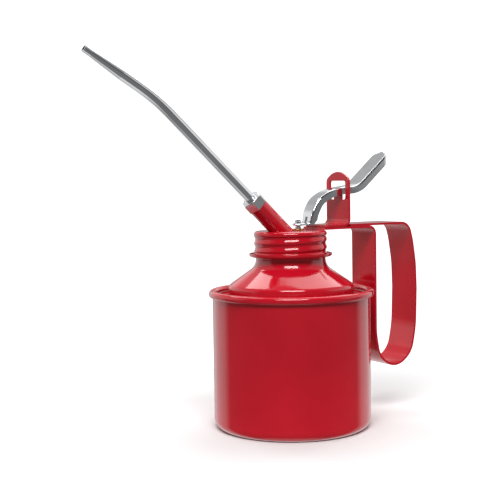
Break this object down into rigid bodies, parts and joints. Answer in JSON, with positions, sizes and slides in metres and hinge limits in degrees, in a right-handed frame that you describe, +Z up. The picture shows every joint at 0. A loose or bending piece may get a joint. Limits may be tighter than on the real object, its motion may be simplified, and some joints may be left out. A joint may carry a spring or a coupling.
{
  "type": "pump oil can",
  "caption": "Red pressed-steel hand oiler with screw cap, thumb-lever lift pump, strip handle and long bent plated spout.",
  "frame": {"origin": "centre of the flat base ring, on the axis of the can", "axes": "+Z up along the can's axis; the spout points to -X and the handle and thumb pad to +X; XZ is the plane of symmetry"},
  "size_m": [0.188, 0.0836, 0.1868],
  "materials": {
    "red_enamel": "glossy baked enamel on sheet steel",
    "chrome_plate": "bright nickel and chrome plate on steel",
    "zinc_bright": "bright plated turned steel",
    "zinc_steel": "bright zinc plated steel",
    "spring_steel": "drawn spring wire",
    "ball_steel": "ground steel ball",
    "brass": "turned brass",
    "gasket_rubber": "oil-resistant rubber",
    "felt": "oiled felt",
    "leather_cup": "pressed oiled leather"
  },
  "bodies": {
    "can": {"can_body": "red_enamel", "can_shoulder": "red_enamel"},
    "seal": {"cap_gasket": "gasket_rubber"},
    "cap": {"screw_cap": "red_enamel", "handle_strip": "red_enamel", "lever_bracket": "red_enamel", "gland_bush": "brass", "barrel_head": "brass", "rod_packing": "felt", "spring_seat": "brass", "pump_barrel": "brass", "return_spring": "spring_steel", "foot_valve_body": "brass", "foot_cage": "brass", "suction_tube": "zinc_steel", "suction_strainer": "brass", "spout_base": "red_enamel", "spout_washer": "gasket_rubber"},
    "nut": {"spout_nut": "zinc_bright"},
    "spout": {"spout_tube": "chrome_plate", "spout_collar": "zinc_steel"},
    "lever": {"lever": "chrome_plate"},
    "piston": {"piston_rod": "zinc_steel", "link_pin": "zinc_steel", "piston": "brass", "piston_cup": "leather_cup", "cup_washer": "brass", "piston_nut": "brass", "piston_cage": "brass"},
    "piston_ball": {"piston_ball": "ball_steel"},
    "foot_ball": {"foot_ball": "ball_steel"}
  },
  "joints": [
    {"name": "cap_lift", "type": "slide", "parent": "can", "child": "seal", "axis": [0, 0, 1], "range_m": [0, 0.0121]},
    {"name": "cap_turn", "type": "hinge", "parent": "seal", "child": "cap", "pos_m": [0, 0, 0.092], "axis": [0, 0, 1], "range_deg": [0, 1080]},
    {"name": "spout_nut_turn", "type": "hinge", "parent": "cap", "child": "nut", "pos_m": [-0.0203, 0, 0.11316], "axis": [-0.7349, 0, 0.6782], "continuous": true},
    {"name": "spout_swivel", "type": "hinge", "parent": "cap", "child": "spout", "pos_m": [-0.0203, 0, 0.11316], "axis": [-0.7349, 0, 0.6782], "continuous": true},
    {"name": "lever_press", "type": "hinge", "parent": "cap", "child": "lever", "pos_m": [0.0308, 0, 0.11921], "axis": [0, 1, 0], "range_deg": [0, 20]},
    {"name": "piston_lift", "type": "slide", "parent": "cap", "child": "piston", "axis": [0, 0, 1], "range_m": [0, 0.0086], "stiffness_N_per_m": 1190, "springref_m": -0.004, "deforming": ["return_spring"]},
    {"name": "piston_ball_lift", "type": "slide", "parent": "piston", "child": "piston_ball", "axis": [0, 0, 1], "range_m": [0, 0.0007]},
    {"name": "foot_ball_lift", "type": "slide", "parent": "cap", "child": "foot_ball", "axis": [0, 0, 1], "range_m": [0, 0.0011]}
  ],
  "couplings": [
    {"joint": "cap_lift", "follows": "cap_turn", "m_per_rad": 0.00063662},
    {"joint": "lever_press", "follows": "piston_lift", "rad_per_m": 40.584}
  ]
}
